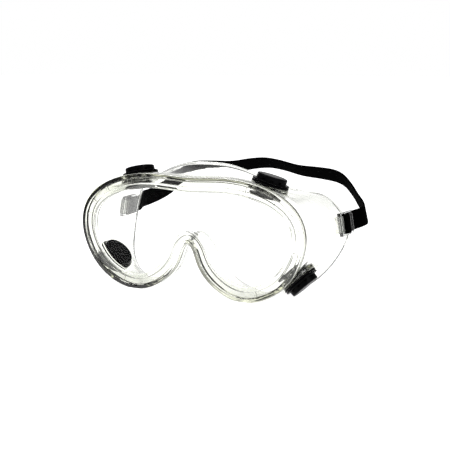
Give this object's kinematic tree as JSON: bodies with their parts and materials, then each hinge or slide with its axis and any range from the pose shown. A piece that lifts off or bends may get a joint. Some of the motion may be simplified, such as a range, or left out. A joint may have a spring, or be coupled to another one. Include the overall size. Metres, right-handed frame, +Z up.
{
  "type": "safety goggles",
  "caption": "Clear chemical-splash safety goggles: soft mask with a flat lens, black round indirect vents, and an elastic strap on swinging buckles.",
  "frame": {"origin": "middle of the goggles' footprint, on the table they stand on", "axes": "+Z up, the lens faces -Y and the wearer's face is towards +Y, +X is the right-hand side seen from the front"},
  "size_m": [0.178, 0.126, 0.0834],
  "materials": {
    "clear_pvc": "clear soft PVC with a faint olive tint, glossy",
    "clear_lens": "clear hard polycarbonate, polished",
    "black_vent": "black moulded plastic, semi-gloss",
    "clear_buckle": "clear hard plastic",
    "black_elastic": "black knitted elastic webbing, matt"
  },
  "bodies": {
    "mask": {"mask_body": "clear_pvc", "lens": "clear_lens", "top_left_vent_base": "black_vent", "top_left_vent_cap": "black_vent", "top_left_vent_baffle": "black_vent", "top_right_vent_base": "black_vent", "top_right_vent_cap": "black_vent", "top_right_vent_baffle": "black_vent", "lower_left_vent_base": "black_vent", "lower_left_vent_cap": "black_vent", "lower_left_vent_baffle": "black_vent", "lower_right_vent_base": "black_vent", "lower_right_vent_cap": "black_vent", "lower_right_vent_baffle": "black_vent", "strap_band": "black_elastic"},
    "left_buckle_body": {"left_buckle": "clear_buckle", "strap_end_left": "black_elastic"},
    "right_buckle_body": {"right_buckle": "clear_buckle", "strap_end_right": "black_elastic"}
  },
  "joints": [
    {"name": "left_buckle_swing", "type": "hinge", "parent": "mask", "child": "left_buckle_body", "pos_m": [-0.0846, -0.00911, 0.045], "axis": [0.1736, 0, 0.9848], "range_deg": [-1, 45]},
    {"name": "right_buckle_swing", "type": "hinge", "parent": "mask", "child": "right_buckle_body", "pos_m": [0.0846, -0.00911, 0.045], "axis": [0.1736, 0, -0.9848], "range_deg": [-1, 45]}
  ]
}
